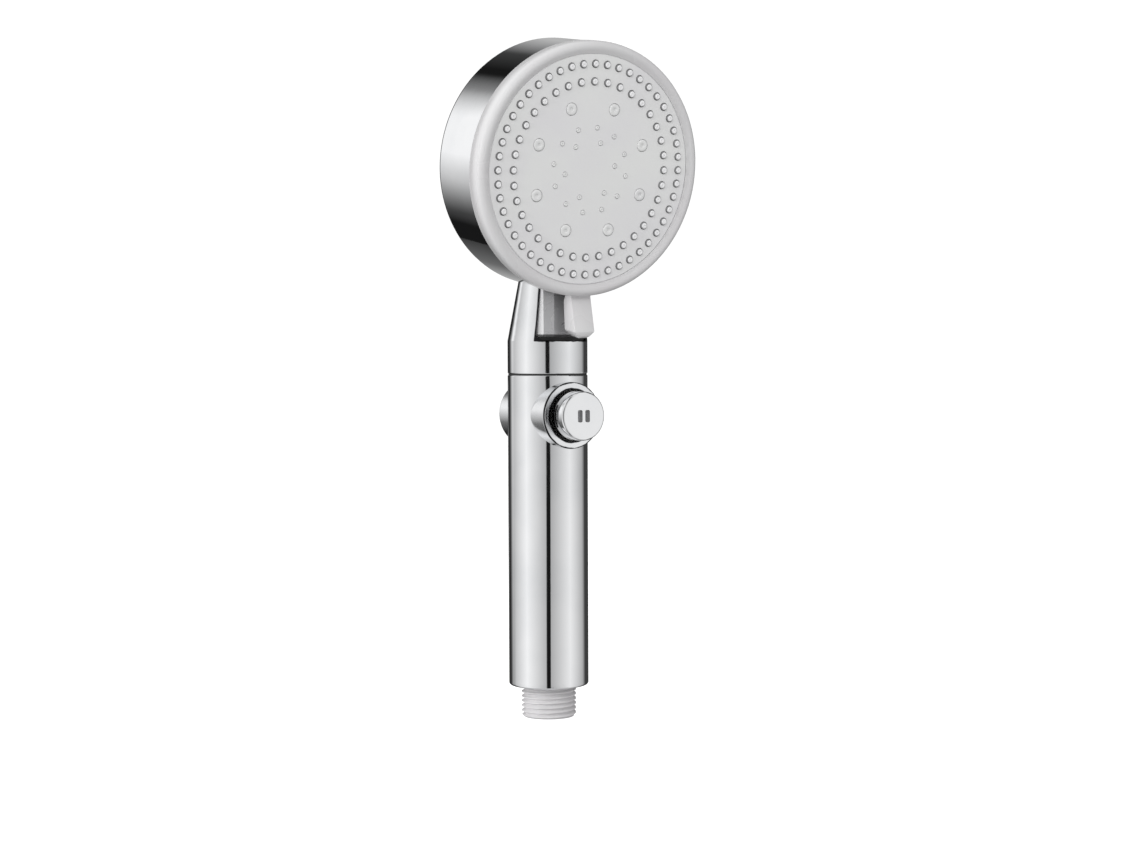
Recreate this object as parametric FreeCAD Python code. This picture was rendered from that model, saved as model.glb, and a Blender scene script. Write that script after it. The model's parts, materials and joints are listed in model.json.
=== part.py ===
import FreeCAD, Part

import math
import os

from FreeCAD import Placement, Rotation, Vector

# Handheld shower head with a turning spray dial and a push-through stop button.
# Millimetres and degrees. The origin is the centre of the inlet's end face, +Z runs up the
# handle, and the spray face looks towards -Y.

# Inlet: G 1/2 male thread
THREAD_R = 10.4775
THREAD_PITCH = 1.8143
THREAD_DEPTH = 1.162
THREAD_CREST = 0.34
THREAD_TURNS = 6
FIRST_CREST_Z = 1.25
THREAD_TOP_Z = 11.6

# Handle
HANDLE_R = 15.3
SLEEVE_WALL = 1.7
SLEEVE_BASE_Z = 12.35
SLEEVE_FLOOR = 2.0
SLEEVE_EDGE = 0.9
SEAM_Z = 131.54
SEAM_GAP = 0.6
SEAM_EDGE = 0.35
TUBE_R = 10.2
TUBE_BORE_R = 7.2
TUBE_TOP_Z = 100.0
INLET_BORE_R = 8.2
INLET_DEPTH = 9.6

# Stop button, on a horizontal axis through the handle
BUTTON_Z = 116.2
CAP_R = 9.2
CAP_BORE_R = 8.1
CAP_DISC = 2.0
FRONT_CAP_Y = -26.6
REAR_CAP_Y = 15.4
COLLAR_R = 12.6
COLLAR_BORE_R = 9.95
COLLAR_SPIGOT_R = 11.1
FRONT_COLLAR_Y = -18.4
REAR_COLLAR_Y = 16.0
SPOOL_R = 4.95
SPOOL_WAIST_R = 2.6
VALVE_BORE_R = 5.0
VALVE_BOSS_R = 7.9
SPOOL_SEAL_Y = (-14.0, -6.2, 6.0)

# Neck
WINDOW_BASE_Z = 144.3
WINDOW_BASE_HALF = 11.35
WINDOW_TOP_Z = 167.5
WINDOW_TOP_HALF = 8.45
WINDOW_CORNER = 2.4
LINER_BASE_Z = 145.7
COLUMN_R = 9.2
NECK_TOP_Z = 184.0
NECK_TOP_RX = 10.0
NECK_TOP_RY = 8.0
NECK_TOP_Y = -3.5
DUCT_R = 6.0
DUCT_BORE_R = 4.2
DUCT_BEND_Z = 160.0

# Head: local z = 0 is the face plate's front, local +Z is the way the water leaves
FACE_Y = -31.54
FACE_Z = 206.97
FACE_TILT = 9.78
DIAL_TURN = 2.3
DRUM_R = 46.8
DRUM_WALL = 2.5
DRUM_FRONT = -6.4
DRUM_BACK = -31.8
DRUM_CROWN = 1.8
DRUM_EDGE = 2.5
RING_R = 47.05
RING_BORE_R = 42.6
RING_BACK = -6.15
SKIRT_R = 43.8
SKIRT_BACK = -12.0
PLATE_R = 42.4
PLATE_THICK = 1.4
MAT_THICK = 1.2
FLOOR_FRONT = -5.8
FLOOR_BACK = -8.0
LEVER_HALF = 4.3

# Nozzles: count, ring radius, first angle, foot radius, tip radius, tip height, hole radius
OUTER_NOZZLES = ((48, 38.73, 90.0), (36, 32.35, 90.0))
WIDE_NOZZLES = ((8, 24.0, 22.5),)
MIST_NOZZLES = ((12, 15.7, 22.0), (6, 10.7, 8.0))
SOFT_NUB = (1.45, 1.15, 0.9, 0.4)
WIDE_NUB = (2.3, 2.0, 0.5, 0.7)
MIST_NUB = (0.9, 0.75, 0.35, 0.3)
HOLE_CLEARANCE = 0.08

HEAD = Placement(Vector(0, FACE_Y, FACE_Z), Rotation(Vector(1, 0, 0), 90 + FACE_TILT))
DIAL = HEAD.multiply(Placement(Vector(0, 0, 0), Rotation(Vector(0, 0, 1), DIAL_TURN)))
ACROSS = Placement(Vector(0, 0, BUTTON_Z), Rotation(Vector(1, 0, 0), -90))


def save(name, shape, placement=None):
    """Write one sub-part, moved from its own axes to the object's."""
    if placement:
        shape = shape.copy()
        shape.Placement = placement.multiply(shape.Placement)
    shape.exportStep("parts/" + name + ".step")


def rod(radius, low, high, x=0, y=0):
    """A cylinder along Z."""
    return Part.makeCylinder(radius, high - low, Vector(x, y, low))


def ring(outer, inner, low, high):
    """A plain tube along Z."""
    return rod(outer, low, high).cut(rod(inner, low - 1, high + 1))


def turned(points):
    """A solid of revolution about Z from (radius, height) points; four numbers give an arc."""
    edges = []
    start = points[-1][-2:]
    for point in points:
        end = point[-2:]
        a = Vector(start[0], 0, start[1])
        b = Vector(end[0], 0, end[1])
        if len(point) == 4:
            edges.append(Part.Arc(a, Vector(point[0], 0, point[1]), b).toShape())
        else:
            edges.append(Part.LineSegment(a, b).toShape())
        start = end
    face = Part.Face(Part.Wire(edges))
    return face.revolve(Vector(0, 0, 0), Vector(0, 0, 1), 360)


def o_ring(radius, thickness, z):
    """A round sealing ring around Z."""
    return Part.makeTorus(radius, thickness / 2, Vector(0, 0, z))


def spring(radius, wire, pitch, low, high):
    """A round-wire coil around Z, between two heights of its wire's centre line."""
    helix = Part.makeHelix(pitch, high - low, radius)
    section = Part.Wire(Part.makeCircle(wire / 2, Vector(radius, 0, 0), Vector(0, 1, 0)))
    coil = Part.Wire(helix.Edges).makePipeShell([section], True, True)
    coil.translate(Vector(0, 0, low))
    return coil


def around(rings):
    """The centres of rings of evenly spaced holes."""
    for count, radius, first in rings:
        for k in range(count):
            angle = math.radians(first + 360.0 * k / count)
            yield radius * math.cos(angle), radius * math.sin(angle)


def screw(shank_r, head_r, head_h, length, x=0, y=0, z=0):
    """A cross-recess screw pointing down -Z with its head's seat at z."""
    body = rod(shank_r, z - length, z, x, y).fuse(rod(head_r, z, z + head_h, x, y))
    corner = Vector(x - head_r * 0.55, y - 0.175, z + head_h * 0.5)
    slot = Part.makeBox(head_r * 1.1, 0.35, head_h, corner)
    cross = slot.copy()
    cross.rotate(Vector(x, y, 0), Vector(0, 0, 1), 90)
    return body.cut(slot).cut(cross)


def water_tube():
    """Inner tube of the handle, with the inlet thread cut as closed turns."""
    root = THREAD_R - THREAD_DEPTH
    flank = THREAD_PITCH * 0.42
    points = [(INLET_BORE_R, 0), (root, 0)]
    for turn in range(THREAD_TURNS):
        z = FIRST_CREST_Z + turn * THREAD_PITCH
        points.append((root, z - flank))
        points.append((THREAD_R, z - THREAD_CREST / 2))
        points.append((THREAD_R, z + THREAD_CREST / 2))
        points.append((root, z + flank))
    points += [(root, THREAD_TOP_Z), (TUBE_R, THREAD_TOP_Z), (TUBE_R, TUBE_TOP_Z)]
    points += [(TUBE_BORE_R, TUBE_TOP_Z), (TUBE_BORE_R, INLET_DEPTH), (INLET_BORE_R, INLET_DEPTH)]
    return turned(points)


def inlet_strainer():
    """Moulded filter disc with a rim, just inside the inlet."""
    rim = INLET_BORE_R - 0.1
    disc = turned([
        (0, 2.2), (rim - 1.4, 1.4), (rim - 1.4, 1.0), (rim, 1.0), (rim, 3.0), (rim - 1, 3.0), (0, 3.2),
    ])
    holes = [rod(0.45, 0, 4, x, y) for x, y in around(((6, 1.6, 0), (12, 3.2, 0), (18, 4.8, 0)))]
    return disc.cut(Part.makeCompound(holes + [rod(0.45, 0, 4)]))


def flow_regulator():
    """Ring that limits the flow, with a soft insert's passages around its core."""
    rim = INLET_BORE_R - 0.1
    body = rod(rim, 4.0, 9.2)
    passages = [rod(1.0, 3, 10, x, y) for x, y in around(((8, 4.9, 0),))]
    return body.cut(Part.makeCompound(passages)).cut(rod(2.6, 3, 6))


def handle_sleeve():
    """Plated outer tube with a floor around the thread and two openings for the collars."""
    top = SEAM_Z - SEAM_GAP / 2
    body = rod(HANDLE_R, SLEEVE_BASE_Z, top)
    body = body.makeFillet(SLEEVE_EDGE, [e for e in body.Edges if e.BoundBox.ZMax < SLEEVE_BASE_Z + 0.1])
    body = body.makeFillet(SEAM_EDGE, [e for e in body.Edges if e.BoundBox.ZMin > top - 0.01])
    body = body.cut(rod(HANDLE_R - SLEEVE_WALL, SLEEVE_BASE_Z + SLEEVE_FLOOR, top + 1))
    body = body.cut(rod(TUBE_R + 0.05, 0, 20))
    opening = rod(COLLAR_SPIGOT_R + 0.05, -HANDLE_R - 1, HANDLE_R + 1)
    opening.Placement = ACROSS.multiply(opening.Placement)
    return body.cut(opening)


def collar(face):
    """Trim ring around the button: a saddle on the handle and a spigot through its wall.

    It is made around Z, with the handle's axis along its own Y, and its open end at +face.
    """
    shell = rod(COLLAR_R, 0, face)
    shell = shell.makeFillet(0.7, [e for e in shell.Edges if e.BoundBox.ZMin > face - 0.1])
    handle = Part.makeCylinder(HANDLE_R, 60, Vector(0, -30, 0), Vector(0, 1, 0))
    shell = shell.cut(handle)
    shell = shell.fuse(rod(COLLAR_SPIGOT_R, 9.4, face - 0.6))
    return shell.cut(rod(COLLAR_BORE_R, 0, face + 1))


def valve_body():
    """Block inside the handle: an inlet below, an outlet above and the cross bore between them."""
    core_r = HANDLE_R - SLEEVE_WALL - 0.2
    neck_r = 12.5
    body = rod(core_r, 96.0, SEAM_Z - 0.5).fuse(rod(neck_r, SEAM_Z - 0.5, 136.0))
    button_room = Part.makeCompound([rod(COLLAR_R, -HANDLE_R, -9.2), rod(COLLAR_R, 8.6, HANDLE_R)])
    button_room.Placement = ACROSS
    body = body.cut(button_room)
    boss = rod(VALVE_BOSS_R, -15.2, 13.0)
    boss.Placement = ACROSS.multiply(boss.Placement)
    body = body.fuse(boss)
    bore = rod(VALVE_BORE_R, -20, 20)
    bore.Placement = ACROSS.multiply(bore.Placement)
    body = body.cut(bore)
    body = body.cut(rod(TUBE_R + 0.05, 95, TUBE_TOP_Z))
    body = body.cut(rod(2.6, 95, BUTTON_Z, 0, -2.6))
    body = body.cut(rod(2.1, BUTTON_Z, 130, 0, 3.1))
    return body.cut(rod(8.1, 126.0, 137))


def spool():
    """Sliding spool of the stop valve, with three seal grooves."""
    groove = 0.85
    points = [(0, 13.2), (SPOOL_R - 1.4, 13.2), (SPOOL_R - 1.4, 12.0), (SPOOL_R, 12.0)]
    for y in sorted(SPOOL_SEAL_Y, reverse=True):
        if y == SPOOL_SEAL_Y[1]:
            points += [(SPOOL_R, 5.0 - 0.4), (SPOOL_WAIST_R, 4.0), (SPOOL_WAIST_R, -4.4), (SPOOL_R, -5.0)]
        points += [(SPOOL_R, y + groove), (SPOOL_R - 1.2, y + groove)]
        points += [(SPOOL_R - 1.2, y - groove), (SPOOL_R, y - groove)]
    points += [(SPOOL_R, -17.0), (4.0, -17.0), (4.0, FRONT_CAP_Y + CAP_DISC), (0, FRONT_CAP_Y + CAP_DISC)]
    return turned(points)


def front_button():
    """Round cap with a stepped skirt that slides over the valve's boss."""
    step = FRONT_CAP_Y + 4.6
    back = -17.0
    inner = FRONT_CAP_Y + CAP_DISC
    return turned([
        (0, FRONT_CAP_Y), (CAP_R - 0.9, FRONT_CAP_Y),
        (CAP_R - 0.25, FRONT_CAP_Y + 0.25, CAP_R, FRONT_CAP_Y + 0.9),
        (CAP_R, step), (CAP_R - 0.5, step + 0.3), (CAP_R - 0.5, step + 0.9), (CAP_R, step + 1.2),
        (CAP_R, back), (CAP_BORE_R, back), (CAP_BORE_R, inner + 1.4), (4.9, inner + 1.4), (4.9, inner + 4),
        (4.02, inner + 4), (4.02, inner), (0, inner),
    ])


def rear_button():
    """Round cap on the other end of the spool."""
    inner = REAR_CAP_Y - 1.8
    return turned([
        (0, REAR_CAP_Y), (0, inner - 0.2), (SPOOL_R - 1.4, inner - 0.2), (SPOOL_R - 1.4, inner),
        (CAP_BORE_R, inner), (CAP_BORE_R, 8.8), (CAP_R, 8.8), (CAP_R, REAR_CAP_Y - 0.9),
        (CAP_R - 0.25, REAR_CAP_Y - 0.25, CAP_R - 0.9, REAR_CAP_Y),
    ])


def duct_path():
    """Centre line of the neck duct: up the neck, then leaning forward to the head's centre."""
    bottom = Vector(0, 0, 136.0)
    bend = Vector(0, 0, DUCT_BEND_Z)
    top = HEAD.multVec(Vector(0, 7.0, -20.2))
    lean = (top - bend).normalize()
    half = math.acos(lean.z) / 2
    reach = 40.0 * math.tan(half)
    a = bend - Vector(0, 0, reach)
    b = bend + lean * reach
    up = (Vector(0, 0, -1) + lean).normalize()
    middle = bend + up * (40.0 / math.cos(half) - 40.0)
    edges = [
        Part.LineSegment(bottom, a).toShape(),
        Part.Arc(a, middle, b).toShape(),
        Part.LineSegment(b, top).toShape(),
    ]
    return Part.Wire(edges)


def duct_pipe(radius):
    """A round pipe along the duct's centre line."""
    section = Part.Wire(Part.makeCircle(radius, Vector(0, 0, 136.0), Vector(0, 0, 1)))
    return duct_path().makePipeShell([section], True, False)


def neck_duct():
    """Water duct from the valve to the head's centre, with its plug, bell and two screw ears."""
    bell = ring(12.0, 9.5, -19.0, -15.0).fuse(rod(12.0, -21.0, -18.0))
    ears = Part.makeBox(40, 8, 2.4, Vector(-20, -4, -22.0))
    bell = bell.fuse(ears)
    bell.Placement = HEAD
    body = duct_pipe(DUCT_R).fuse(bell)
    plug = turned([
        (0, 126.4), (8.0, 126.4), (8.0, 128.2), (6.8, 128.2),
        (6.8, 129.9), (8.0, 129.9), (8.0, 136.0), (0, 136.0),
    ])
    body = body.fuse(plug)
    passage = duct_pipe(DUCT_BORE_R).fuse(rod(DUCT_BORE_R, 125, 136.1))
    chamber = rod(9.5, -18.0, -14.0)
    holes = Part.makeCompound([rod(1.6, -25, -15, x, 0) for x in (-17.0, 17.0)])
    chamber.Placement = HEAD
    holes.Placement = HEAD
    return body.cut(passage).cut(chamber).cut(holes)


def window(inset):
    """The lever's opening in the neck, narrower at the top, from in front of the neck to its middle."""
    base = WINDOW_BASE_Z + inset
    wide, narrow = WINDOW_BASE_HALF - inset, WINDOW_TOP_HALF - inset
    outline = [(-wide, base), (wide, base), (narrow, WINDOW_TOP_Z), (-narrow, WINDOW_TOP_Z)]
    outline = [Vector(x, -21, z) for x, z in outline + outline[:1]]
    opening = Part.Face(Part.makePolygon(outline)).extrude(Vector(0, 20, 0))
    corners = [e for e in opening.Edges if e.BoundBox.ZMax < base + 0.1 and e.BoundBox.XLength < 0.1]
    return opening.makeFillet(WINDOW_CORNER, corners)


def drum_space(clearance):
    """The room that the drum takes, which the window's pieces stay out of."""
    space = rod(DRUM_R + clearance, DRUM_BACK, DRUM_FRONT)
    space.Placement = HEAD
    return space


def window_liner():
    """Grey faceted cover in front of the neck's column, behind the lever."""
    half = [(-10.6, -5.0), (-10.6, -8.0), (-9.5, -9.2), (-8.0, -10.6), (-4.1, -12.0)]
    outline = half + [(-x, y) for x, y in reversed(half)]
    outline = [Vector(x, y, LINER_BASE_Z) for x, y in outline + outline[:1]]
    cover = Part.Face(Part.makePolygon(outline)).extrude(Vector(0, 0, 20))
    edges = [e for e in cover.Edges if e.BoundBox.ZMax < LINER_BASE_Z + 0.1 and e.BoundBox.YMax < -9]
    cover = cover.makeChamfer(1.0, edges)
    return cover.common(window(0.15)).cut(rod(COLUMN_R + 0.05, 140, 180)).cut(drum_space(0.2))


def liner_gasket():
    """Black rubber strip that fills the bottom of the window under the liner."""
    strip = rod(HANDLE_R - 0.6, WINDOW_BASE_Z, LINER_BASE_Z - 0.05)
    strip = strip.common(Part.makeBox(40, 20, 10, Vector(-20, -25, WINDOW_BASE_Z)))
    return strip.common(window(0.1)).cut(rod(COLUMN_R + 0.05, 140, 180))


def head_shell():
    """Plated neck and drum in one moulding, with the lever's window and the drum's inner posts."""
    base = SEAM_Z + SEAM_GAP / 2
    edge = DRUM_EDGE * (1 - math.sqrt(0.5))
    drum = turned([
        (0, DRUM_FRONT), (DRUM_R - 0.3, DRUM_FRONT), (DRUM_R, DRUM_FRONT - 0.3),
        (DRUM_R, DRUM_BACK + DRUM_EDGE),
        (DRUM_R - edge, DRUM_BACK + edge, DRUM_R - DRUM_EDGE, DRUM_BACK),
        (0.5 * DRUM_R, DRUM_BACK - 0.72 * DRUM_CROWN, 0, DRUM_BACK - DRUM_CROWN),
    ])
    drum.Placement = HEAD
    low = Part.Wire(Part.makeCircle(HANDLE_R, Vector(0, 0, WINDOW_BASE_Z)))
    high = Part.Ellipse(Vector(0, NECK_TOP_Y, NECK_TOP_Z), NECK_TOP_RX, NECK_TOP_RY)
    taper = Part.makeLoft([low, Part.Wire(high.toShape())], True, True)
    stub = rod(HANDLE_R, base, WINDOW_BASE_Z)
    stub = stub.makeFillet(SEAM_EDGE, [e for e in stub.Edges if e.BoundBox.ZMax < base + 0.01])
    neck = stub.fuse(taper)

    # the window: a pocket in the neck's front down to a round column, kept clear of the drum
    pocket = window(0).cut(rod(COLUMN_R, 140, 180))
    shell = drum.fuse(neck.cut(pocket.cut(drum_space(0))))

    # hollows: the drum's inside, the neck's socket and the way for the duct
    inner_r = DRUM_R - DRUM_WALL
    inside = rod(inner_r, DRUM_BACK + DRUM_WALL, 30)
    inside.Placement = HEAD
    socket = rod(12.55, base - 1, WINDOW_BASE_Z - 2.2)
    way = duct_pipe(DUCT_R + 0.8)
    shell = shell.cut(inside).cut(socket).cut(way)

    # posts for the duct's screws and for the detent
    posts = Part.makeCompound([rod(3.0, DRUM_BACK, -22.0, x, 0) for x in (-17.0, 17.0)])
    detent = rod(3.4, DRUM_BACK, -10.0, 0, 34.0)
    pilots = Part.makeCompound([rod(1.2, -27.5, -20.0, x, 0) for x in (-17.0, 17.0)])
    blind = rod(1.85, -18.5, -9.0, 0, 34.0)
    for tool in (posts, detent, pilots, blind):
        tool.Placement = HEAD
    return shell.fuse([posts, detent]).cut(Part.makeCompound([pilots, blind])).removeSplitter()


def hub():
    """Fixed bearing of the dial, with the water outlet and the centre screw's hole."""
    groove_low, groove_high = -11.6, -10.1
    body = turned([
        (0, -15.0), (12.0, -15.0), (12.0, -13.2), (9.0, -13.2), (9.0, groove_low), (7.8, groove_low),
        (7.8, groove_high), (9.0, groove_high), (9.0, -8.4), (0, -8.4),
    ])
    outlet = rod(2.2, -16, -7, 0, -5.0).fuse(rod(2.75, -12.6, -7, 0, -5.0))
    return body.cut(outlet).cut(rod(1.2, -14.0, -8.0))


def outlet_seal():
    """Rubber sleeve in the hub's outlet that presses against the distributor's back."""
    return turned([(1.4, -8.05), (2.6, -8.05), (2.6, -12.55), (1.4, -12.55)])


def spray_ring():
    """White outer ring of the dial, with its skirt in the drum and the lever below."""
    body = turned([
        (RING_BORE_R, SKIRT_BACK), (RING_BORE_R, -0.7), (RING_BORE_R + 0.7, 0.5),
        (44.75, 1.2, 46.1, 0.5), (46.85, -0.2, RING_R, -1.3),
        (RING_R, RING_BACK), (SKIRT_R, RING_BACK), (SKIRT_R, SKIRT_BACK),
    ])
    side = [(-44.5, -5.6), (-46.6, -6.1), (-49.5, -7.2), (-61.0, -5.4), (-62.4, -4.2), (-62.6, 0.6),
            (-61.8, 2.0), (-60.2, 2.3), (-47.4, -2.0), (-44.5, -1.5)]
    outline = [Vector(-LEVER_HALF, y, z) for y, z in side + side[:1]]
    bar = Part.Face(Part.makePolygon(outline)).extrude(Vector(2 * LEVER_HALF, 0, 0))
    front = [(-LEVER_HALF, -44), (-LEVER_HALF, -60.0), (-LEVER_HALF + 1.9, -62.7), (LEVER_HALF - 1.9, -62.7),
             (LEVER_HALF, -60.0), (LEVER_HALF, -44)]
    outline = [Vector(x, y, -9) for x, y in front + front[:1]]
    bar = bar.common(Part.Face(Part.makePolygon(outline)).extrude(Vector(0, 0, 13)))
    return body.fuse(bar)


def face_plate():
    """Flat front plate with a hole for every nozzle."""
    disc = turned([(0, 0), (0, -PLATE_THICK), (PLATE_R, -PLATE_THICK), (PLATE_R, -0.3), (PLATE_R - 0.3, 0)])
    holes = []
    for rings, nub in ((OUTER_NOZZLES, SOFT_NUB), (WIDE_NOZZLES, WIDE_NUB), (MIST_NOZZLES, MIST_NUB)):
        for x, y in around(rings):
            holes.append(rod(nub[0] + HOLE_CLEARANCE, -2, 1, x, y))
    posts = [rod(1.5, FLOOR_FRONT, -PLATE_THICK + 0.1, x, y) for x, y in around(((6, 35.54, 0),))]
    pilots = [rod(0.7, FLOOR_FRONT - 1, -1.0, x, y) for x, y in around(((6, 35.54, 0),))]
    return disc.cut(Part.makeCompound(holes)).fuse(posts).cut(Part.makeCompound(pilots))


def nozzles(rings, nub, inner, outer, pegs=False):
    """A soft mat behind the face plate with its nozzles standing through the plate's holes."""
    foot, tip, height, hole = nub
    front, back = -PLATE_THICK, -PLATE_THICK - MAT_THICK
    mat = rod(outer, back, front)
    if inner:
        mat = mat.cut(rod(inner, back - 1, front + 1))
    cones = []
    ways = []
    for x, y in around(rings):
        cones.append(Part.makeCone(foot, tip, height - front + 0.2, Vector(x, y, front - 0.2)))
        ways.append(rod(hole, back - 1, height + 1, x, y))
    if pegs:
        ways += [rod(1.6, back - 1, front + 1, x, y) for x, y in around(((6, 35.54, 0),))]
    return mat.fuse(cones).cut(Part.makeCompound(ways))


def distributor():
    """Chambered plate that turns on the hub and leads the water to one set of nozzles."""
    wall_top = -PLATE_THICK - MAT_THICK
    body = rod(RING_BORE_R - 0.05, FLOOR_BACK, FLOOR_FRONT)
    for outer, inner in ((RING_BORE_R - 0.05, 41.3), (29.6, 28.6), (19.6, 18.6)):
        body = body.fuse(ring(outer, inner, FLOOR_FRONT, wall_top))
    body = body.fuse(ring(11.6, 9.05, -12.8, FLOOR_BACK))
    ports = [rod(1.7, -9, -5, 0, -5.0)]
    for x, y in around(((6, 35.54, 0),)):
        ports.append(rod(0.75, -9, -5, x, y))
        ports.append(rod(1.6, -9, FLOOR_BACK + 1.2, x, y))
    ports.append(rod(2.05, -9, -5))
    track = Part.makeTorus(34.0, 1.9, Vector(0, 0, FLOOR_BACK - 0.9), Vector(0, 0, 1))
    sector = Part.makeCylinder(40, 6, Vector(0, 0, FLOOR_BACK - 3), Vector(0, 0, 1), 28)
    sector.rotate(Vector(0, 0, 0), Vector(0, 0, 1), 90 - 14)
    return body.cut(Part.makeCompound(ports)).cut(track.common(sector))


def build():
    """Write every sub-part."""
    os.makedirs("parts", exist_ok=True)

    # handle
    save("water_tube", water_tube())
    save("inlet_strainer", inlet_strainer())
    save("flow_regulator", flow_regulator())
    save("handle_sleeve", handle_sleeve())
    save("valve_body", valve_body())
    facing_back = ACROSS
    facing_front = Placement(Vector(0, 0, BUTTON_Z), Rotation(Vector(1, 0, 0), 90))
    save("front_collar", collar(-FRONT_COLLAR_Y), facing_front)
    save("rear_collar", collar(REAR_COLLAR_Y), facing_back)

    # stop button, turned about its own axis: local z is the object's y
    seals = [o_ring(SPOOL_R - 0.6, 1.16, y) for y in SPOOL_SEAL_Y]
    save("stop_spool", spool(), ACROSS)
    save("spool_seals", Part.makeCompound(seals), ACROSS)
    save("front_button", front_button(), ACROSS)
    save("rear_button", rear_button(), ACROSS)

    # neck
    save("neck_duct", neck_duct())
    save("joint_seal", o_ring(7.4, 1.16, 129.05))

    # head
    save("head_shell", head_shell())
    save("window_liner", window_liner())
    save("liner_gasket", liner_gasket())
    save("hub", hub(), HEAD)
    save("hub_seal", o_ring(8.4, 1.16, -10.85), HEAD)
    below = Placement(Vector(0, -5.0, 0), Rotation())
    save("outlet_seal", outlet_seal(), HEAD.multiply(below))
    above = Placement(Vector(0, 34.0, 0), Rotation())
    save("detent_spring", spring(1.45, 0.45, 1.0, -18.2, -11.2), HEAD.multiply(above))
    save("detent_ball", Part.makeSphere(1.75, Vector(0, 0, -9.05)), HEAD.multiply(above))
    washer = ring(3.6, 2.1, FLOOR_FRONT + 0.05, FLOOR_FRONT + 0.55)
    save("dial_washer", washer, HEAD)
    shoulder = rod(2.0, -8.38, FLOOR_FRONT + 0.6)
    centre_screw = screw(1.2, 3.2, 1.3, 7.0, 0, 0, FLOOR_FRONT + 0.6).fuse(shoulder)
    save("dial_screw", centre_screw, HEAD)
    duct_screws = [screw(1.2, 2.6, 1.6, 6.0, x, 0, -19.6) for x in (-17.0, 17.0)]
    save("duct_screws", Part.makeCompound(duct_screws), HEAD)

    # dial
    save("spray_ring", spray_ring(), DIAL)
    save("face_plate", face_plate(), DIAL)
    save("nozzle_mat", nozzles(OUTER_NOZZLES, SOFT_NUB, 29.2, 42.2, pegs=True), DIAL)
    save("wide_nozzles", nozzles(WIDE_NOZZLES, WIDE_NUB, 19.2, 29.0), DIAL)
    save("mist_nozzles", nozzles(MIST_NOZZLES, MIST_NUB, 0, 19.0), DIAL)
    save("distributor", distributor(), DIAL)
    plate_screws = []
    for x, y in around(((6, 35.54, 0),)):
        one = screw(0.7, 1.5, 0.9, 5.4)
        one.rotate(Vector(0, 0, 0), Vector(1, 0, 0), 180)
        one.translate(Vector(x, y, FLOOR_BACK + 1.2))
        plate_screws.append(one)
    save("plate_screws", Part.makeCompound(plate_screws), DIAL)


build()
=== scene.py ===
import json
import math

import bpy
from mathutils import Matrix, Vector


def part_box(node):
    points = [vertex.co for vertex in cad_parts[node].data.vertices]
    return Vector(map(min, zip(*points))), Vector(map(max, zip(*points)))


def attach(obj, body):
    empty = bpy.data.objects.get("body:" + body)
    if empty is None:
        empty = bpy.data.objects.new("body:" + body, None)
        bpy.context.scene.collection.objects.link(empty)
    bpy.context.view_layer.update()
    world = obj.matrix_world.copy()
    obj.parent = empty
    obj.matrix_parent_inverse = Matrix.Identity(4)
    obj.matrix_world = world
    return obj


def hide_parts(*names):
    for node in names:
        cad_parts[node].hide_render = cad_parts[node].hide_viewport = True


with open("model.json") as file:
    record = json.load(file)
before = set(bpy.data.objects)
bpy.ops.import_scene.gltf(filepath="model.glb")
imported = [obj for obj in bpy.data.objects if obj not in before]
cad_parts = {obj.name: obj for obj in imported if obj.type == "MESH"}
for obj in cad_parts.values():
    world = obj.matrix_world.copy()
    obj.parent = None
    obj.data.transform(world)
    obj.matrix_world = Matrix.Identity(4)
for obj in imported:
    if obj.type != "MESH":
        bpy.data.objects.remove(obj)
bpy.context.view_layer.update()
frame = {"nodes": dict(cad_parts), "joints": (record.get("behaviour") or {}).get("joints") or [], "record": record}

# ---------------------------------------------------------------------------
# Camera: a moderate long lens, about thirty degrees round to the left of the
# front and a little above mid-height, looking down by two and a half degrees.
# ---------------------------------------------------------------------------
camera_data = bpy.data.cameras.new("camera")
camera_data.sensor_width = 36.0
camera_data.lens = 65.06
camera = bpy.data.objects.new("camera", camera_data)
bpy.context.scene.collection.objects.link(camera)
camera.location = (-0.3996, -0.6805, 0.1445)
camera.rotation_euler = [math.radians(a) for a in (87.572, 0.213, -31.049)]
bpy.context.scene.camera = camera
bpy.context.scene.view_settings.view_transform = "Standard"

# ---------------------------------------------------------------------------
# Studio: a white room with two tall softboxes, a narrow black gap between them
# in front, and a pale card and black flags behind, so that the plating shows soft
# gradients with dark lines. A plain white floor lies under the part.
# ---------------------------------------------------------------------------
room = bpy.data.worlds.new("studio")
bpy.context.scene.world = room
room.use_nodes = True
room.node_tree.nodes.clear()


def joined(tree, kind, settings=None, **inputs):
    """Adds a node, with plain values or links for its named or numbered inputs."""
    node = tree.nodes.new(kind)
    for key, value in (settings or {}).items():
        setattr(node, key, value)
    for key, value in inputs.items():
        numbered = key[0] == "_" and key[1:].isdigit()
        socket = node.inputs[int(key[1:]) if numbered else key.replace("_", " ")]
        if isinstance(value, bpy.types.NodeSocket):
            tree.links.new(value, socket)
        else:
            socket.default_value = value
    return node


def worked(tree, operation, *values):
    """What a Math node makes of its values."""
    numbered = {f"_{i}": value for i, value in enumerate(values)}
    return joined(tree, "ShaderNodeMath", {"operation": operation}, **numbered).outputs[0]


def spread(tree, value, start, end, low=0.0, high=1.0):
    """A value carried from the range start to end over to the range low to high."""
    return joined(tree, "ShaderNodeMapRange", _0=value, _1=start, _2=end, _3=low, _4=high).outputs[0]


def laid_over(tree, share, under, over):
    """One colour laid over another, by a share from 0 to 1."""
    return joined(tree, "ShaderNodeMix", {"data_type": "RGBA"}, _0=share, _6=under, _7=over).outputs[2]


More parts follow.
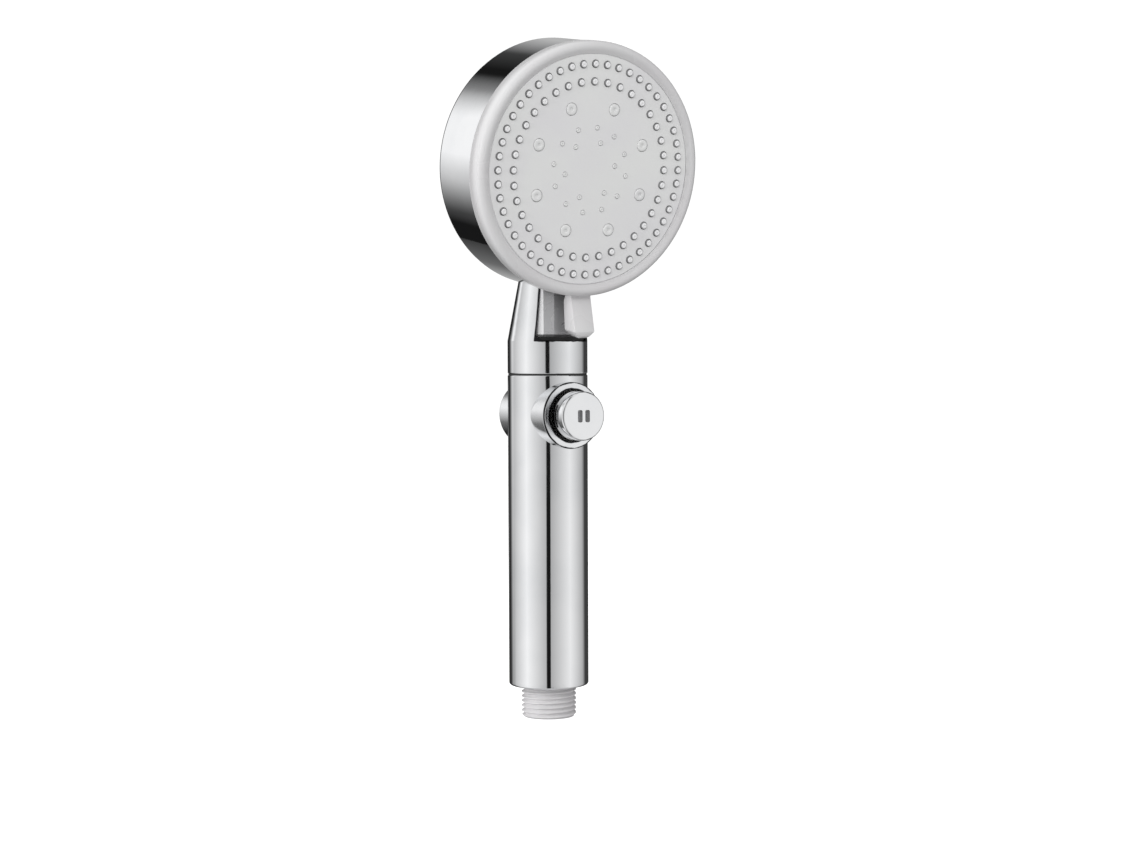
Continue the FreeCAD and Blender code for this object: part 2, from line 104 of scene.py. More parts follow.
def ramp(tree, fac, stops):
    """A colour ramp from grey stops."""
    node = tree.nodes.new("ShaderNodeValToRGB")
    tree.links.new(fac, node.inputs["Fac"])
    colours = node.color_ramp.elements
    colours.remove(colours[1])
    colours[0].position = stops[0][0]
    colours[0].color = (*[stops[0][1]] * 3, 1)
    for place, grey in stops[1:]:
        colours.new(place).color = (grey, grey, grey, 1)
    return node.outputs["Color"]


tree = room.node_tree
way = joined(tree, "ShaderNodeTexCoord").outputs["Generated"]
part = joined(tree, "ShaderNodeSeparateXYZ", _0=way)
back = worked(tree, "MULTIPLY", part.outputs["Y"], -1.0)
turn = worked(tree, "ARCTAN2", part.outputs["X"], back)
around = spread(tree, turn, -math.pi, math.pi)
height = spread(tree, part.outputs["Z"], -1.0, 1.0)

# each stop is a direction, in degrees round from the front towards the right, and a brightness
left_softbox = [(-150, .5), (-95, 1.0), (-37, .5)]
black_gap = [(-36, .01), (-25, .01)]
right_softbox = [(-24, .45), (35, .9), (85, .45)]
right_flag = [(100, .05), (140, .05)]
rear_strip = [(150, .5), (165, .05), (180, .01)]
walls = left_softbox + black_gap + right_softbox + right_flag + rear_strip
cards = [(-175, .01), (-165, .25), (-155, 1.0), (-140, 1.0)]
floors = [(-170, .01), (-140, .3), (140, .3), (150, .5), (165, .15), (180, .05)]
full_card = ramp(tree, around, [((a + 180) / 360, v) for a, v in cards])
wall = ramp(tree, around, [((a + 180) / 360, v) for a, v in walls])

# the rear card fades towards the floor; each stop is a height in degrees and a share of its light
lifts = [(-15, .2), (0, .7), (8, 1.0)]
lift = ramp(tree, height, [((math.sin(math.radians(a)) + 1) / 2, v) for a, v in lifts])
card = joined(tree, "ShaderNodeVectorMath", {"operation": "MULTIPLY"}, _0=full_card, _1=lift)
behind = spread(tree, turn, math.radians(-140), math.radians(-150))
sides = laid_over(tree, behind, wall, card.outputs[0])

# low down behind, the room is darker, and the dark part reaches higher on the right
LOW_LEFT, LOW_RIGHT = -0.262, -0.02
lower = ramp(tree, around, [((a + 180) / 360, v) for a, v in floors])
low_from = spread(tree, turn, -0.5, 0.5, LOW_LEFT, LOW_RIGHT)
is_low = worked(tree, "LESS_THAN", part.outputs["Z"], low_from)
off_front = worked(tree, "ABSOLUTE", turn)
is_rear = spread(tree, off_front, math.radians(142), math.radians(150))
rear_low = worked(tree, "MULTIPLY", is_low, is_rear)
sides = laid_over(tree, rear_low, sides, lower)
ceiling = spread(tree, part.outputs["Z"], 0.72, 0.92)
topped = laid_over(tree, ceiling, sides, (.95, .95, .95, 1))
ground = spread(tree, part.outputs["Z"], -0.6, -0.85)
tone = laid_over(tree, ground, topped, (.55, .55, .55, 1))

# the camera sees plain white, and everything else is lit by the room
lit = joined(tree, "ShaderNodeBackground", Color=tone, Strength=1.0)
plain = joined(tree, "ShaderNodeBackground", Color=(1, 1, 1, 1), Strength=1.05)
seen = joined(tree, "ShaderNodeLightPath")
mixed = joined(tree, "ShaderNodeMixShader", _0=seen.outputs["Is Camera Ray"],
               _1=lit.outputs[0], _2=plain.outputs[0])
joined(tree, "ShaderNodeOutputWorld", Surface=mixed.outputs[0])

AIM = (0, 0, 0.17)


def softbox(name, place, width, tall, watts):
    """A soft area light, aimed at the part, that the plating doesn't mirror."""
    data = bpy.data.lights.new(name, "AREA")
    data.shape = "RECTANGLE"
    data.size = width
    data.size_y = tall
    data.energy = watts
    lamp = bpy.data.objects.new(name, data)
    bpy.context.scene.collection.objects.link(lamp)
    lamp.location = place
    lamp.rotation_euler = (Vector(AIM) - Vector(place)).to_track_quat("-Z", "Y").to_euler()
    lamp.visible_glossy = False
    lamp.visible_camera = False


softbox("key_light", (-0.9, -1.0, 0.9), 0.7, 0.7, 7.4)
softbox("fill_light", (0.9, -0.9, 0.4), 0.7, 0.9, 2.0)
softbox("side_light", (-1.3, -0.1, 0.25), 0.5, 0.9, 9.0)
softbox("back_light", (0.2, 1.1, 0.8), 0.8, 0.8, 2.5)

FLOOR_SIDE = 12
FLOOR_HEIGHT = -0.06
bpy.ops.object.select_all(action="DESELECT")
bpy.ops.mesh.primitive_plane_add(size=FLOOR_SIDE, location=(0, 0, FLOOR_HEIGHT))
floor = bpy.context.object
floor.name = "floor"
floor.visible_glossy = False
floor.visible_diffuse = False
paper = bpy.data.materials.new("white_paper")
paper.use_nodes = True
sheet = paper.node_tree.nodes["Principled BSDF"]
sheet.inputs["Base Color"].default_value = (0.93, 0.93, 0.93, 1)
sheet.inputs["Roughness"].default_value = 0.9
sheet.inputs["Emission Color"].default_value = (1, 1, 1, 1)
sheet.inputs["Emission Strength"].default_value = 0.5
floor.data.materials.append(paper)


# ---------------------------------------------------------------------------
# Handle sleeve: a plastic tube with bright chrome plating, pushed over the
# water tube from below. Its floor closes round the thread, and two round
# openings take the button's collars.
# ---------------------------------------------------------------------------
def surface_effect(name, outputs):
    """An empty node group with the three inputs that all these effects share."""
    group = bpy.data.node_groups.new(name, "ShaderNodeTree")
    group.interface.new_socket("Place", in_out="INPUT", socket_type="NodeSocketVector")
    group.interface.new_socket("Scale", in_out="INPUT", socket_type="NodeSocketFloat")
    group.interface.new_socket("Amount", in_out="INPUT", socket_type="NodeSocketFloat")
    for output in outputs:
        group.interface.new_socket(output, in_out="OUTPUT", socket_type="NodeSocketFloat")
    return group, group.nodes.new("NodeGroupInput"), group.nodes.new("NodeGroupOutput")


def effect(tree, group, place, scale, amount=1.0):
    """Places one of the effects in a material."""
    return joined(tree, "ShaderNodeGroup", {"node_tree": group}, Place=place, Scale=scale, Amount=amount)


# fine moulding grain: a height for Bump
grain, given, result = surface_effect("moulding_grain", ["Height"])
fine = joined(grain, "ShaderNodeTexNoise", Vector=given.outputs["Place"],
              Scale=given.outputs["Scale"], Detail=4.0, Roughness=0.6)
level = worked(grain, "MULTIPLY", fine.outputs["Fac"], given.outputs["Amount"])
grain.links.new(level, result.inputs["Height"])

# handling: soft patches left by hands and dried water, with small spots in them
marks, given, result = surface_effect("handling_marks", ["Patches", "Spots"])
broad = joined(marks, "ShaderNodeTexNoise", Vector=given.outputs["Place"],
               Scale=given.outputs["Scale"], Detail=3.0, Roughness=0.5)
soft = spread(marks, broad.outputs["Fac"], 0.42, 0.68, 0.0, given.outputs["Amount"])
closer = worked(marks, "MULTIPLY", given.outputs["Scale"], 9.0)
drops = joined(marks, "ShaderNodeTexVoronoi", Vector=given.outputs["Place"], Scale=closer, Randomness=1.0)
dots = spread(marks, drops.outputs["Distance"], 0.10, 0.16, 1.0, 0.0)
spots = worked(marks, "MULTIPLY", dots, soft)
marks.links.new(soft, result.inputs["Patches"])
marks.links.new(spots, result.inputs["Spots"])

# rubbed rims: worn plating that fades away from an edge; Place's Z is the distance from it.
# The painted shade lines use the same fade as their mask.
wear_and_shade, given, result = surface_effect("rubbed_rim_and_shade_line", ["Wear"])
apart = joined(wear_and_shade, "ShaderNodeSeparateXYZ", _0=given.outputs["Place"])
far = worked(wear_and_shade, "ABSOLUTE", apart.outputs["Z"])
ragged = joined(wear_and_shade, "ShaderNodeTexNoise", Vector=given.outputs["Place"],
                Scale=given.outputs["Scale"], Detail=3.0)
reach = worked(wear_and_shade, "MULTIPLY", ragged.outputs["Fac"], given.outputs["Amount"])
faded = spread(wear_and_shade, far, 0.0, reach, 1.0, 0.0)
wear_and_shade.links.new(faded, result.inputs["Wear"])


def painted_shade_line(tree, tone, place, distance, width):
    """Paints a dark line of shade and dark reflection in an edge, where a distance is near nothing."""
    apart = joined(tree, "ShaderNodeSeparateXYZ", _0=place)
    there = joined(tree, "ShaderNodeCombineXYZ", X=apart.outputs["X"], Y=apart.outputs["Y"], Z=distance)
    # painted shade: a near-black line laid over the tone along the edge
    line = effect(tree, wear_and_shade, there.outputs[0], 300.0, width * 2)
    painted_shade_mask = spread(tree, line.outputs["Wear"], 0.0, 0.4)
    return laid_over(tree, painted_shade_mask, tone, (.02, .02, .022, 1))


def off_ring(tree, place, centre, axis, radius):
    """How far a place is from a circle about an axis."""
    off = joined(tree, "ShaderNodeVectorMath", {"operation": "SUBTRACT"}, _0=place, _1=centre)
    out = joined(tree, "ShaderNodeVectorMath", {"operation": "CROSS_PRODUCT"}, _0=off.outputs[0], _1=axis)
    reach = joined(tree, "ShaderNodeVectorMath", {"operation": "LENGTH"}, _0=out.outputs[0])
    aside = worked(tree, "SUBTRACT", reach.outputs["Value"], radius)
    along = joined(tree, "ShaderNodeVectorMath", {"operation": "DOT_PRODUCT"}, _0=off.outputs[0], _1=axis)
    both_ways = joined(tree, "ShaderNodeCombineXYZ", X=aside, Y=along.outputs["Value"])
    gap = joined(tree, "ShaderNodeVectorMath", {"operation": "LENGTH"}, _0=both_ways.outputs[0])
    return gap.outputs["Value"]


def finish_material(name, clean, marked, gloss, grain_size, grain_depth, patch_size,
                    rim=None, rings=(), **plain_values):
    """A surface with moulding grain, handling marks and a rubbed rim.

    clean and marked are its two tones, gloss its roughness when clean and when marked. rim is a
    place on the rubbed edge, the way across that edge and how far the rubbing reaches. rings are
    painted dark lines of shade in round edges: a centre, the axis, the radius and how far the line reaches.
    """
    material = bpy.data.materials.new(name)
    material.use_nodes = True
    tree = material.node_tree
    shader = tree.nodes["Principled BSDF"]
    for socket, value in plain_values.items():
        shader.inputs[socket.replace("_", " ")].default_value = value
    place = joined(tree, "ShaderNodeTexCoord").outputs["Object"]
    grains = effect(tree, grain, place, grain_size)
    touched = effect(tree, marks, place, patch_size)
    dull = touched.outputs["Patches"]
    if rim:
        spot, across, width = rim
        turned_to = Vector(across).rotation_difference(Vector((0, 0, 1))).to_euler()
        there = joined(tree, "ShaderNodeMapping", {"vector_type": "POINT"}, Vector=place,
                       Rotation=turned_to, Location=-(turned_to.to_matrix() @ Vector(spot)))
        rubbed = effect(tree, wear_and_shade, there.outputs[0], 400.0, width)
        dull = worked(tree, "MAXIMUM", dull, rubbed.outputs["Wear"])
    dull = worked(tree, "MAXIMUM", dull, touched.outputs["Spots"])
    tone = laid_over(tree, dull, (*clean, 1), (*marked, 1))
    for centre, axis, radius, width in rings:
        gap = off_ring(tree, place, centre, axis, radius)
        tone = painted_shade_line(tree, tone, place, gap, width)
    tree.links.new(tone, shader.inputs["Base Color"])
    rough = spread(tree, dull, 0.0, 1.0, *gloss)
    tree.links.new(rough, shader.inputs["Roughness"])
    bump = joined(tree, "ShaderNodeBump", Height=grains.outputs["Height"], Strength=1.0, Distance=grain_depth)
    tree.links.new(bump.outputs["Normal"], shader.inputs["Normal"])
    return material


def dress(node, material):
    """Gives a CAD node its finish."""
    frame["nodes"][node].material_slots[0].material = material


def chrome(name, rim=None, rings=(), gloss=(0.02, 0.09)):
    """Bright chrome plating over moulded plastic."""
    return finish_material(name, (0.90, 0.905, 0.915), (0.83, 0.84, 0.855), gloss,
                           90, 0.000012, 38, rim, rings, Metallic=1.0)


UPRIGHT = (0, 0, 1)
sleeve_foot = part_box("handle_sleeve")[0].z
dress("handle_sleeve", chrome("chrome_sleeve", rim=((0, 0, sleeve_foot), UPRIGHT, 0.004)))

# ---------------------------------------------------------------------------
# Neck and drum: one plated moulding on top of the handle, with a window in the
# neck's front where the dial's lever moves. The window's sides lean in towards
# the top, and a dark line of shade is painted along its sides and its sill.
# ---------------------------------------------------------------------------
WINDOW_HALF = 0.01135       # half the window's width at its sill
WINDOW_LEAN = 0.125         # how far each side leans in for each metre up
WINDOW_SHADE_WIDTH = 0.0006
REAR_FROM = -0.004          # the neck's back, behind this, has no window and no line
shell_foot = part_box("head_shell")[0].z
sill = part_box("liner_gasket")[0].z
shell_chrome = chrome("chrome_shell", rim=((0, 0, shell_foot), UPRIGHT, 0.002))
tree = shell_chrome.node_tree
place = joined(tree, "ShaderNodeTexCoord").outputs["Object"]
spot = joined(tree, "ShaderNodeSeparateXYZ", _0=place)
aside = worked(tree, "ABSOLUTE", spot.outputs["X"])
leaning = worked(tree, "MULTIPLY_ADD", spot.outputs["Z"], WINDOW_LEAN, -WINDOW_HALF - WINDOW_LEAN * sill)
past = worked(tree, "ADD", aside, leaning)
under = worked(tree, "SUBTRACT", sill, spot.outputs["Z"])
beside = worked(tree, "MAXIMUM", past, 0.0)
below = worked(tree, "MAXIMUM", under, 0.0)
corner = joined(tree, "ShaderNodeCombineXYZ", X=beside, Y=below)
off_window = joined(tree, "ShaderNodeVectorMath", {"operation": "LENGTH"}, _0=corner.outputs[0])
rear = worked(tree, "GREATER_THAN", spot.outputs["Y"], REAR_FROM)
clear_of = worked(tree, "ADD", off_window.outputs["Value"], rear)
shader = tree.nodes["Principled BSDF"]
tone = shader.inputs["Base Color"].links[0].from_socket
# painted shade: a dark line along the window's sides and sill, laid into the plating's colour
tree.links.new(painted_shade_line(tree, tone, place, clear_of, WINDOW_SHADE_WIDTH), shader.inputs["Base Color"])
dress("head_shell", shell_chrome)

# ---------------------------------------------------------------------------
# Window liner: a satin grey moulding that hides the water duct behind the
# window, with painted light on its cheeks. It stands on a black rubber strip along
# the sill, whose near-black colour is painted shade.
# ---------------------------------------------------------------------------
LIT_CHEEK_FROM = 0.0079         # the cheeks begin this far out from the middle
liner = finish_material("satin_grey_liner", (0.52, 0.52, 0.53), (0.56, 0.56, 0.57), (0.25, 0.36),
                        900, 0.00002, 60, Metallic=0.5)
tree = liner.node_tree
spot = joined(tree, "ShaderNodeSeparateXYZ", _0=joined(tree, "ShaderNodeTexCoord").outputs["Object"])
aside = worked(tree, "ABSOLUTE", spot.outputs["X"])
# painted light: the pale cheeks stand in for the light that the liner's sides catch
painted_light_cheek = worked(tree, "GREATER_THAN", aside, LIT_CHEEK_FROM)
shader = tree.nodes["Principled BSDF"]
tone = shader.inputs["Base Color"].links[0].from_socket
tree.links.new(laid_over(tree, painted_light_cheek, tone, (.95, .95, .96, 1)), shader.inputs["Base Color"])
dress("window_liner", liner)
# painted shade: the strip's near-black colour stands in for the shade in the window's sill
sill_shade_strip = finish_material("black_sill_shade", (0.004, 0.004, 0.004), (0.008, 0.008, 0.008), (0.5, 0.65),
                         1500, 0.00003, 90)
dress("liner_gasket", sill_shade_strip)

# ---------------------------------------------------------------------------
# Button trim: two plated collars pressed into the handle's openings, and the
# two caps of the stop button, which stand in them with a narrow gap. A dark line
# of shade and dark reflection is painted into their round edges.
# ---------------------------------------------------------------------------
COLLAR_BORE = 0.00995       # radius of the hole that a cap stands in
THROUGH = (0, 1, 0)         # the button's way through the handle


def outer_end(node, outer):
    """The centre and radius of a round piece's outer end."""
    low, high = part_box(node)
    end = Vector((0, low.y if outer < 0 else high.y, (low.z + high.z) / 2))
    return end, (high.z - low.z) / 2


# painted shade: dark lines in the collars' outer edges and bores and in the caps' edges
for node, outer in (("front_collar", -1), ("rear_collar", 1)):
    end, radius = outer_end(node, outer)
    edges = ((end, THROUGH, radius, 0.0006), (end, THROUGH, COLLAR_BORE, 0.00055))
    dress(node, chrome("chrome_" + node, rings=edges, gloss=(0.14, 0.2)))
for node, outer in (("front_button", -1), ("rear_button", 1)):
    end, radius = outer_end(node, outer)
    dress(node, chrome("chrome_" + node, rings=((end, THROUGH, radius, 0.0005),)))

# ---------------------------------------------------------------------------
# Turning ring: one gloss white moulding with a rounded bezel, a skirt that runs
# inside the drum, and below it the lever that turns the spray. Its neighbours
# clip and screw to it from behind.
# ---------------------------------------------------------------------------
MM = 0.001


def drawn_line(name, points):
    """Draws a line of edges through points in millimetres and stays in edit mode."""
    spots = [Vector(p) * MM for p in points]
    bpy.ops.object.select_all(action="DESELECT")
    bpy.ops.mesh.primitive_plane_add(size=MM, location=spots[0])
    bpy.ops.object.transform_apply(location=True, rotation=True, scale=True)
    bpy.context.object.name = name
    bpy.ops.object.mode_set(mode="EDIT")
    bpy.ops.mesh.select_all(action="SELECT")
    bpy.ops.mesh.merge(type="CENTER")
    for start, end in zip(spots, spots[1:]):
        bpy.ops.mesh.extrude_vertices_move(TRANSFORM_OT_translate={"value": end - start})
    bpy.ops.mesh.select_all(action="SELECT")
    bpy.ops.mesh.remove_doubles(threshold=0.002 * MM)
    return bpy.context.object


def turned(name, outline, steps):
    """A body of revolution about Z from (radius, height) points, closed by its last point."""
    body = drawn_line(name, [(r, 0, z) for r, z in outline])
    bpy.ops.mesh.spin(steps=steps, angle=2 * math.pi, center=(0, 0, 0), axis=UPRIGHT)
    bpy.ops.mesh.select_all(action="SELECT")
    bpy.ops.mesh.remove_doubles(threshold=0.002 * MM)
    bpy.ops.mesh.normals_make_consistent(inside=False)
    bpy.ops.object.mode_set(mode="OBJECT")
    return body


def softened(body, width, segments=2, angle=35):
    """Rounds the sharp edges of a piece and smooths its shading."""
    bpy.ops.object.select_all(action="DESELECT")
    body.select_set(True)
    bpy.context.view_layer.objects.active = body
    if width:
        edge = body.modifiers.new("edge", "BEVEL")
        edge.width = width * MM
        edge.segments = segments
        edge.limit_method = "ANGLE"
        edge.angle_limit = math.radians(angle)
        edge.harden_normals = True
        bpy.ops.object.modifier_apply(modifier="edge")
    bpy.ops.object.shade_smooth_by_angle(angle=math.radians(40))
    return body


def fitted(piece, place, body, slot, material, *stands_for):
    """Puts a finished piece in its place for good and ties it to the CAD."""
    piece.data.transform(place)
    piece.data.materials.clear()
    piece.data.materials.append(material)
    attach(piece, body)
    if stands_for:
        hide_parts(*stands_for)
    return piece


# the head's own axes: X to the right, Y up across the face, Z out of it; the dial rests turned
DIAL_REST = 2.3
dial = next(j for j in frame["joints"] if j["name"] == "dial_turn")
ahead = Vector(dial["axis"]).normalized()
upward = ahead.cross(Vector((1, 0, 0)))
head = Matrix((Vector((1, 0, 0)), upward, ahead)).transposed().to_4x4()
head.translation = Vector(dial["pos_m"])
on_dial = head @ Matrix.Rotation(math.radians(DIAL_REST), 4, "Z")

RING_OUTLINE = [(42.6, -12), (42.6, -1.2), (42.43, -1.0), (42.43, -0.03), (42.7, 0.08), (43.3, 0.45),
                (43.9, 0.85), (44.75, 1.1), (45.5, 0.95), (46.1, 0.55), (46.6, 0.1), (46.9, -0.5),
                (47.04, -1.3), (47.04, -6.15), (43.8, -6.15), (43.8, -12), (42.6, -12)]
bezel = softened(turned("turning_ring", RING_OUTLINE, 128), 0.12)

# the lever is its side view given a width, with its two lower corners cut off
LEVER_HALF = 4.3
LEVER_SIDE = [(-44.5, -5.6), (-46.6, -6.1), (-49.5, -7.2), (-61.0, -5.4), (-62.4, -4.2), (-62.6, 0.6),
              (-61.8, 2.0), (-60.2, 2.3), (-47.4, -2.0), (-44.5, -1.5), (-44.5, -5.6)]
CORNER_FROM = -60
CORNER_OUT, CORNER_DOWN = 2.7, -1.9
lever = drawn_line("lever", [(-LEVER_HALF, y, z) for y, z in LEVER_SIDE])
bpy.ops.mesh.edge_face_add()
bpy.ops.mesh.extrude_region_move(TRANSFORM_OT_translate={"value": (2 * LEVER_HALF * MM, 0, 0)})
for side in (-1, 1):
    bpy.ops.mesh.select_all(action="SELECT")
    bpy.ops.mesh.bisect(plane_co=(side * LEVER_HALF * MM, CORNER_FROM * MM, 0),
                        plane_no=(side * CORNER_OUT, CORNER_DOWN, 0), use_fill=True, clear_outer=True)
bpy.ops.mesh.select_all(action="SELECT")
bpy.ops.mesh.normals_make_consistent(inside=False)
bpy.ops.object.mode_set(mode="OBJECT")
softened(lever, 0.42, 4, 25)
bezel.select_set(True)
bpy.context.view_layer.objects.active = bezel
bpy.ops.object.join()
gloss_white = finish_material("gloss_white_ring", (0.62, 0.62, 0.625), (0.60, 0.59, 0.60), (0.22, 0.32),
                              900, 0.00001, 30)
fitted(bezel, on_dial, "spray_dial", "white_plastic", gloss_white, "spray_ring")

# ---------------------------------------------------------------------------
# Face plate: a pale satin disc that snaps into the ring, with a round hole for
# every nozzle. Its front is moulded with a fine even grain.
# ---------------------------------------------------------------------------
satin_plate = finish_material("satin_plate", (0.745, 0.75, 0.745), (0.725, 0.72, 0.735), (0.5, 0.6),
                              2500, 0.00002, 30, Specular_IOR_Level=0.3)
dress("face_plate", satin_plate)

# ---------------------------------------------------------------------------
# Nozzles: soft silicone mats behind the plate. Each nozzle is a small cone with
# a rounded lip and a round outlet, and stands through its hole in the plate. The
# two outer rings are painted dark down their sides as shade, and pale on their lips.
# ---------------------------------------------------------------------------
silicone = finish_material("silicone_nozzles", (0.74, 0.745, 0.74), (0.69, 0.69, 0.70), (0.35, 0.5),
                           1500, 0.00002, 60, Specular_IOR_Level=0.4)
# painted shade: a dark copy of the silicone for the two outer rings, dark down their sides
painted_shade_nozzles = finish_material("silicone_soft_nozzles_painted_shade", (0.20, 0.20, 0.205), (0.24, 0.24, 0.245), (0.35, 0.5),
                         1500, 0.00002, 60)
LIP_FROM, LIP_FULL = 0.0005, 0.00072    # the lips' tone begins and is full this far ahead of the head's origin
tree = painted_shade_nozzles.node_tree
place = joined(tree, "ShaderNodeTexCoord").outputs["Object"]
off = joined(tree, "ShaderNodeVectorMath", {"operation": "SUBTRACT"}, _0=place, _1=head.translation)
tall = joined(tree, "ShaderNodeVectorMath", {"operation": "DOT_PRODUCT"}, _0=off.outputs[0], _1=ahead)
lip = spread(tree, tall.outputs["Value"], LIP_FROM, LIP_FULL)
shader = tree.nodes["Principled BSDF"]
tone = shader.inputs["Base Color"].links[0].from_socket
tree.links.new(laid_over(tree, lip, tone, (.82, .82, .83, 1)), shader.inputs["Base Color"])

MAT_FRONT, MAT_BACK = -1.42, -2.6


def nozzle_mat(name, rings, outline, steps, inner, outer, node, material):
    """A mat with rings of nozzles; each ring is its count, radius and first angle."""
    model = softened(turned(name + "_nozzle", outline, steps), 0)
    edge = [(inner, MAT_FRONT), (outer, MAT_FRONT), (outer, MAT_BACK), (inner, MAT_BACK), (inner, MAT_FRONT)]
    mat = softened(turned(name, edge, 96), 0)
    for count, radius, first in rings:
        for k in range(count):
            angle = math.radians(first + 360 * k / count)
            place = Vector((math.cos(angle), math.sin(angle), 0)) * radius * MM
            copy = model.copy()
            copy.data = model.data.copy()
            bpy.context.scene.collection.objects.link(copy)
            copy.data.transform(Matrix.Translation(place))
            copy.select_set(True)
    mat.select_set(True)
    bpy.context.view_layer.objects.active = mat
    model.select_set(False)
    bpy.ops.object.join()
    bpy.data.objects.remove(model)
    return fitted(mat, on_dial, "spray_dial", "silicone", material, node)


SOFT_NOZZLE = [(0, -1.5), (1.44, -1.5), (1.38, 0.02), (1.12, 0.55), (0.98, 0.78), (0.8, 0.88), (0.5, 0.86),
               (0.24, 0.8), (0.2, 0.7), (0, 0.7)]
WIDE_NOZZLE = [(0, -1.5), (2.28, -1.5), (2.2, 0.02), (2.02, 0.22), (1.6, 0.3), (0.9, 0.26), (0.6, 0.1),
               (0.5, -0.1), (0, -0.1)]
MIST_NOZZLE = [(0, -1.5), (0.88, -1.5), (0.84, 0.1), (0.7, 0.24), (0.5, 0.26), (0.3, 0.2), (0.24, 0.05),
               (0, 0.05)]
SOFT_RINGS = ((48, 38.73, 90.0), (36, 32.35, 90.0))
WIDE_RINGS = ((8, 24.0, 22.5),)
MIST_RINGS = ((12, 15.7, 22.0), (6, 10.7, 8.0))
nozzle_mat("soft_nozzles", SOFT_RINGS, SOFT_NOZZLE, 14, 29.2, 42.2, "nozzle_mat", painted_shade_nozzles)
nozzle_mat("wide_jets", WIDE_RINGS, WIDE_NOZZLE, 24, 19.2, 29.0, "wide_nozzles", silicone)
nozzle_mat("mist_jets", MIST_RINGS, MIST_NOZZLE, 14, 0, 19.0, "mist_nozzles", silicone)

# ---------------------------------------------------------------------------
# Water tube: the white inner tube of the handle. Its lower end carries the
# inlet's cut thread, with a chamfered start and a relief under the sleeve.
# ---------------------------------------------------------------------------
PITCH = 1.8143
THREAD_DEPTH = 1.162
THREAD_TURNS = 7
inlet = next(m for m in frame["record"]["mounts"] if m["name"] == "hose_thread")
crest = inlet["dims"]["r_mm"]
root = crest - THREAD_DEPTH
tube_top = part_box("water_tube")[1].z / MM
tube_outline = [(8.2, 0), (9.55, 0), (crest, 0.8), (crest, 10.75), (root, 11.25), (root, 11.7),
                (10.2, 12.0), (10.2, tube_top), (7.2, tube_top), (7.2, 9.6), (8.2, 9.6), (8.2, 0)]
tube = turned("inlet_tube", tube_outline, 96)
groove_outline = [(root, 0, -1.35), (root, 0, -1.05), (crest + 0.2, 0, -0.35), (crest + 0.2, 0, -2.05),
                  (root, 0, -1.35)]
groove = drawn_line("groove", groove_outline)
bpy.ops.object.mode_set(mode="OBJECT")
wind = groove.modifiers.new("wind", "SCREW")
wind.angle = 2 * math.pi
wind.screw_offset = PITCH * MM
wind.iterations = THREAD_TURNS
wind.steps = wind.render_steps = 48
bpy.ops.object.modifier_apply(modifier="wind")
bpy.ops.object.mode_set(mode="EDIT")
bpy.ops.mesh.select_all(action="SELECT")
bpy.ops.mesh.remove_doubles(threshold=0.002 * MM)
bpy.ops.mesh.fill_holes(sides=4)
bpy.ops.mesh.select_all(action="SELECT")
bpy.ops.mesh.normals_make_consistent(inside=False)
bpy.ops.object.mode_set(mode="OBJECT")
cut = tube.modifiers.new("cut", "BOOLEAN")
cut.object = groove
cut.solver = "EXACT"
bpy.ops.object.select_all(action="DESELECT")
tube.select_set(True)
bpy.context.view_layer.objects.active = tube
bpy.ops.object.modifier_apply(modifier="cut")
bpy.data.objects.remove(groove)
softened(tube, 0)
white_inlet = finish_material("white_inlet", (0.68, 0.67, 0.68), (0.64, 0.63, 0.64), (0.35, 0.45),
                              1200, 0.00001, 60)
fitted(tube, Matrix.Identity(4), "handle", "white_plastic", white_inlet, "water_tube")

# ---------------------------------------------------------------------------
# Seam ring: a thin black ring in the seam between the sleeve and the neck; its
# near-black colour is painted shade in the gap. It has a little play in the gap
# and lies just inside both rims.
# ---------------------------------------------------------------------------
SEAM_PLAY = 0.03
SEAM_BORE, SEAM_RADIUS = 14.1, 15.0
seam_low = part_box("handle_sleeve")[1].z / MM + SEAM_PLAY
seam_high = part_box("head_shell")[0].z / MM - SEAM_PLAY
seam_outline = [(SEAM_BORE, seam_low), (SEAM_RADIUS, seam_low), (SEAM_RADIUS, seam_high),
                (SEAM_BORE, seam_high), (SEAM_BORE, seam_low)]
seam = turned("seam_shade_ring", seam_outline, 96)
# painted shade: the ring's near-black colour stands in for the shadow in the seam
seam_shade_finish = finish_material("black_seam_shade", (0.01, 0.01, 0.01), (0.02, 0.02, 0.02), (0.5, 0.6),
                             1500, 0.00002, 90)
fitted(softened(seam, 0), Matrix.Identity(4), "handle", "black_rubber", seam_shade_finish)

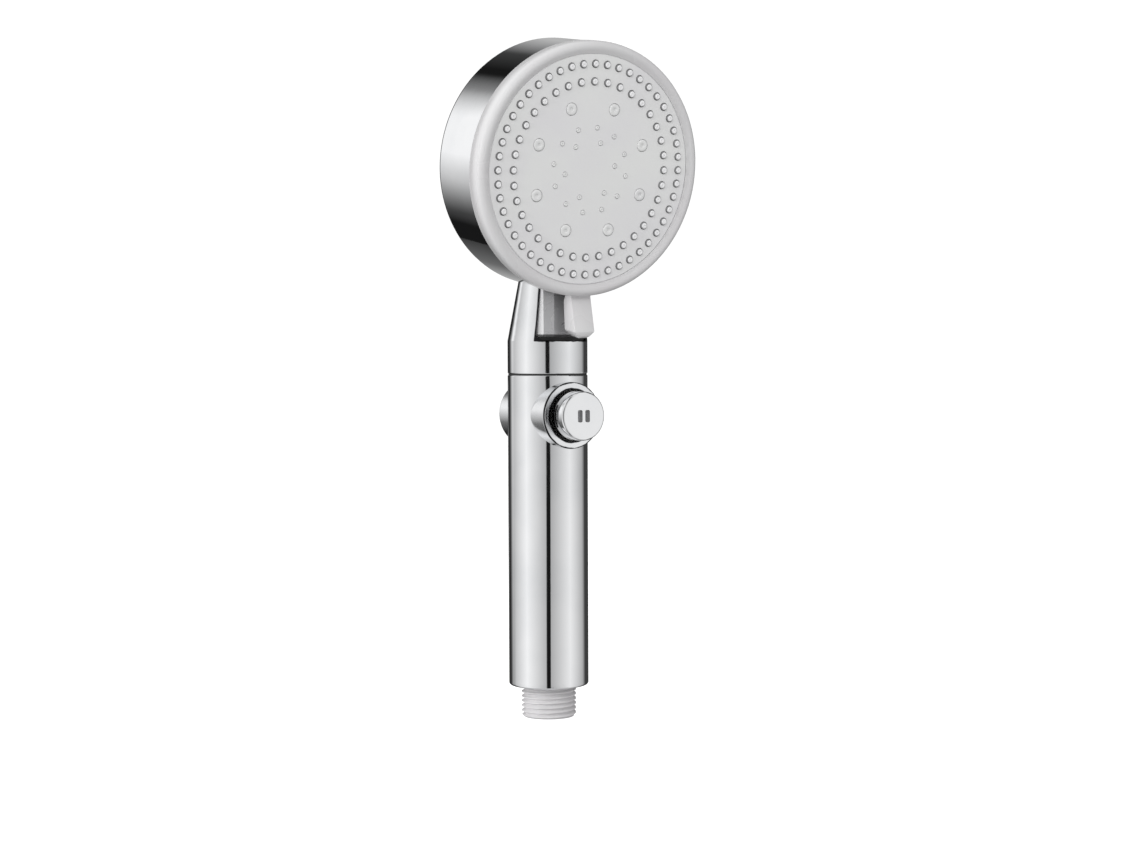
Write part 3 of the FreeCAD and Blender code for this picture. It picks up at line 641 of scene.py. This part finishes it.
# ---------------------------------------------------------------------------
# Button mark: two short bars printed on the front cap, the usual sign for
# pausing a flow.
# ---------------------------------------------------------------------------
BAR_OFF = 1.6
BAR_SIZE = (1.3, 0.03, 4.6)
BAR_ROUND = 0.62
cap_low, cap_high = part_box("front_button")
cap_middle = (cap_low.z + cap_high.z) / 2
bars = []
for x in (-BAR_OFF, BAR_OFF):
    bpy.ops.object.select_all(action="DESELECT")
    bpy.ops.mesh.primitive_cube_add(size=MM, location=(x * MM, cap_low.y, cap_middle), scale=BAR_SIZE)
    bpy.ops.object.transform_apply(location=True, rotation=True, scale=True)
    bar = bpy.context.object
    bar.name = "bar"
    bpy.ops.object.mode_set(mode="EDIT")
    bpy.ops.mesh.select_all(action="DESELECT")
    bpy.ops.object.mode_set(mode="OBJECT")
    for line in bar.data.edges:
        a, b = (bar.data.vertices[i].co for i in line.vertices)
        line.select = abs((a - b).y) > 0.01 * MM
    bpy.ops.object.mode_set(mode="EDIT")
    bpy.ops.mesh.bevel(offset=BAR_ROUND * MM, segments=5, affect="EDGES")
    bpy.ops.object.mode_set(mode="OBJECT")
    bars.append(softened(bar, 0))
bars[0].select_set(True)
bpy.context.view_layer.objects.active = bars[0]
bpy.ops.object.join()
bars[0].name = "pause_mark"
ink = finish_material("grey_print", (0.16, 0.16, 0.165), (0.22, 0.22, 0.225), (0.4, 0.6),
                      1500, 0.00001, 120)
fitted(bars[0], Matrix.Identity(4), "stop_button", "chrome_plate", ink)

# ---------------------------------------------------------------------------
# Inside: off-white mouldings that carry and meter the water, the black rubber
# seals between them, and the stainless steel screws, washer, spring and ball.
# ---------------------------------------------------------------------------
for node in ("inlet_strainer", "flow_regulator", "valve_body", "stop_spool", "neck_duct", "hub",
             "distributor"):
    dress(node, finish_material("moulding_" + node, (0.62, 0.62, 0.6), (0.58, 0.57, 0.55), (0.45, 0.6),
                                900, 0.00003, 50))
for node in ("spool_seals", "joint_seal", "hub_seal", "outlet_seal"):
    dress(node, finish_material("rubber_" + node, (0.03, 0.03, 0.03), (0.05, 0.05, 0.05), (0.5, 0.65),
                                1500, 0.00003, 90))
for node in ("detent_spring", "detent_ball", "dial_washer", "dial_screw", "duct_screws", "plate_screws"):
    dress(node, finish_material("steel_" + node, (0.6, 0.6, 0.61), (0.5, 0.5, 0.5), (0.25, 0.4),
                                1800, 0.00001, 90, Metallic=1.0))
